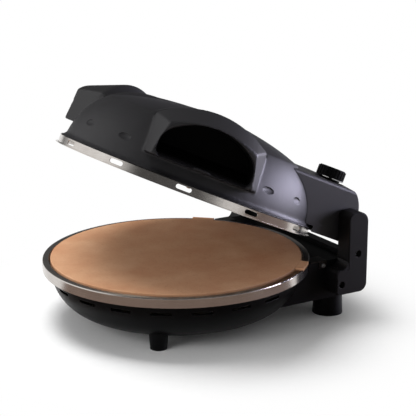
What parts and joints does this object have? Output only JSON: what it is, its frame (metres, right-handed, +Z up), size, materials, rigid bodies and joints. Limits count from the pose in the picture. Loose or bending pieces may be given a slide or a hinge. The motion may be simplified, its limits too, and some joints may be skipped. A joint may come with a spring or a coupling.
{
  "type": "electric pizza maker",
  "caption": "Round countertop cooker with a stone in a shallow bowl base and a rear-hinged domed lid with scooped side grips and a dial.",
  "frame": {"origin": "on the table plane that the feet stand on, straight under the centre of the stone", "axes": "+Z up, -Y to the front where the lid opens, +Y to the hinge at the back, +X to the side with the dial"},
  "size_m": [0.3594, 0.386, 0.298],
  "materials": {
    "black_shell": "fine matte",
    "black_plastic": "moulded satin",
    "stainless": "bright pressed",
    "zinc_steel": "zinc plated",
    "aluminised_sheet": "bright sheet",
    "heater_sheath": "oxidised",
    "ceramic_white": "unglazed",
    "cooking_stone": "matte fired clay"
  },
  "bodies": {
    "base": {"base_bowl": "black_plastic", "base_ring": "stainless", "stone": "cooking_stone", "lower_pan": "aluminised_sheet", "lower_heater": "heater_sheath", "heater_rest_1": "stainless", "heater_rest_2": "stainless", "heater_rest_3": "stainless", "terminal_block": "ceramic_white", "cord_inlet": "black_plastic", "foot_front_left": "black_plastic", "foot_front_right": "black_plastic", "foot_rear_left": "black_plastic", "foot_rear_right": "black_plastic", "arm_left": "black_plastic", "arm_right": "black_plastic", "arm_screw_left_low": "zinc_steel", "arm_screw_left_high": "zinc_steel", "arm_screw_right_low": "zinc_steel", "arm_screw_right_high": "zinc_steel", "ring_tab_left": "stainless", "ring_tab_right": "stainless", "tab_screw_left": "zinc_steel", "tab_screw_right": "zinc_steel"},
    "lid": {"lid_shell": "black_shell", "lid_housing": "black_shell", "lid_band": "stainless", "lid_reflector": "aluminised_sheet", "upper_heater": "heater_sheath", "heater_post_1": "stainless", "heater_post_2": "stainless", "heater_post_3": "stainless", "grip_liner_left": "black_plastic", "grip_liner_right": "black_plastic", "hinge_pin_left": "zinc_steel", "hinge_pin_right": "zinc_steel", "thermostat": "zinc_steel"},
    "dial": {"knob": "black_plastic"}
  },
  "joints": [
    {"name": "lid_hinge", "type": "hinge", "parent": "base", "child": "lid", "pos_m": [0, 0.197, 0.106], "axis": [-1, 0, 0], "range_deg": [-24.4, 60.6]},
    {"name": "dial_turn", "type": "hinge", "parent": "lid", "child": "dial", "pos_m": [0.088, 0.18064, 0.17887], "axis": [0, 0.4131, 0.9107], "range_deg": [0, 270]}
  ]
}
